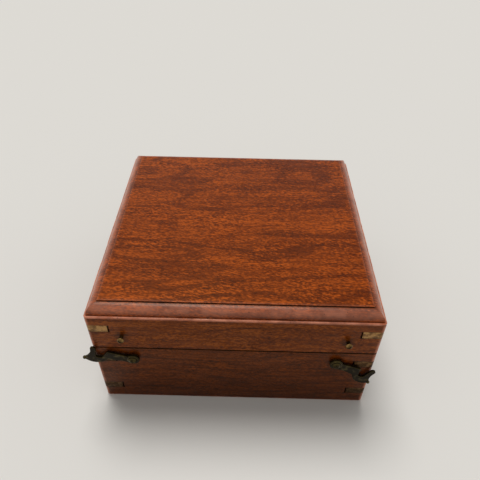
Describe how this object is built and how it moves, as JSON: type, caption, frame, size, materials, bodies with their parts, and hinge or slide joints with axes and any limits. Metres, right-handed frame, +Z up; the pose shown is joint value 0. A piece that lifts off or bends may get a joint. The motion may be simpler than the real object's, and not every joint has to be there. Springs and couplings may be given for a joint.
{
  "type": "sextant box",
  "caption": "Hardwood case for a small sextant: hinged lid with a moulded edge, inlaid brass corner straps, swinging hook latches and fitted blocks inside.",
  "frame": {"origin": "centre of the case's underside", "axes": "+X to the right seen from the latches, +Y towards the hinges, +Z up out of the lid"},
  "size_m": [0.1731, 0.1627, 0.0856],
  "materials": {
    "case_wood": "satin reddish hardwood",
    "block_wood": "plain sanded hardwood",
    "strap_brass": "dulled, brushed",
    "hinge_brass": "dulled",
    "latch_bronze": "dark antique patina",
    "green_baize": "short nap"
  },
  "bodies": {
    "base": {"back_handle_chock": "block_wood", "back_saddle_pad": "green_baize", "base_back_wall": "case_wood", "base_front_wall": "case_wood", "base_hinge_screws": "hinge_brass", "base_left_wall": "case_wood", "base_lower_strap_back_left": "strap_brass", "base_lower_strap_back_right": "strap_brass", "base_lower_strap_front_left": "strap_brass", "base_lower_strap_front_right": "strap_brass", "base_right_wall": "case_wood", "base_strap_pins": "strap_brass", "base_upper_strap_back_left": "strap_brass", "base_upper_strap_back_right": "strap_brass", "base_upper_strap_front_left": "strap_brass", "base_upper_strap_front_right": "strap_brass", "block_screws": "hinge_brass", "bottom_board": "block_wood", "floor_lining": "green_baize", "foot_block": "block_wood", "foot_pad": "green_baize", "front_handle_chock": "block_wood", "front_saddle_pad": "green_baize", "left_hinge_base_leaf": "hinge_brass", "left_hinge_pin": "hinge_brass", "left_pivot_screw": "latch_bronze", "left_pivot_washer": "latch_bronze", "left_socket_pad": "green_baize", "left_telescope_block": "block_wood", "limb_block": "block_wood", "limb_pad": "green_baize", "right_hinge_base_leaf": "hinge_brass", "right_hinge_pin": "hinge_brass", "right_pivot_screw": "latch_bronze", "right_pivot_washer": "latch_bronze", "right_socket_pad": "green_baize", "right_telescope_block": "block_wood"},
    "lid": {"left_catch_stud": "latch_bronze", "left_hinge_lid_leaf": "hinge_brass", "lid_back_rail": "case_wood", "lid_block": "block_wood", "lid_board": "case_wood", "lid_front_rail": "case_wood", "lid_hinge_screws": "hinge_brass", "lid_left_rail": "case_wood", "lid_pad": "green_baize", "lid_right_rail": "case_wood", "lid_strap_back_left": "strap_brass", "lid_strap_back_right": "strap_brass", "lid_strap_front_left": "strap_brass", "lid_strap_front_right": "strap_brass", "lid_strap_pins": "strap_brass", "right_catch_stud": "latch_bronze", "right_hinge_lid_leaf": "hinge_brass"},
    "left_hook": {"left_hook": "latch_bronze"},
    "right_hook": {"right_hook": "latch_bronze"}
  },
  "joints": [
    {"name": "lid_hinge", "type": "hinge", "parent": "base", "child": "lid", "pos_m": [0, 0.07745, 0.0521], "axis": [-1, 0, 0], "range_deg": [0, 105]},
    {"name": "left_hook_pivot", "type": "hinge", "parent": "base", "child": "left_hook", "pos_m": [-0.0597, -0.08085, 0.0432], "axis": [0, 1, 0], "range_deg": [-99, 69.13]},
    {"name": "right_hook_pivot", "type": "hinge", "parent": "base", "child": "right_hook", "pos_m": [0.0597, -0.08085, 0.0432], "axis": [0, -1, 0], "range_deg": [-58, 110.13]}
  ]
}
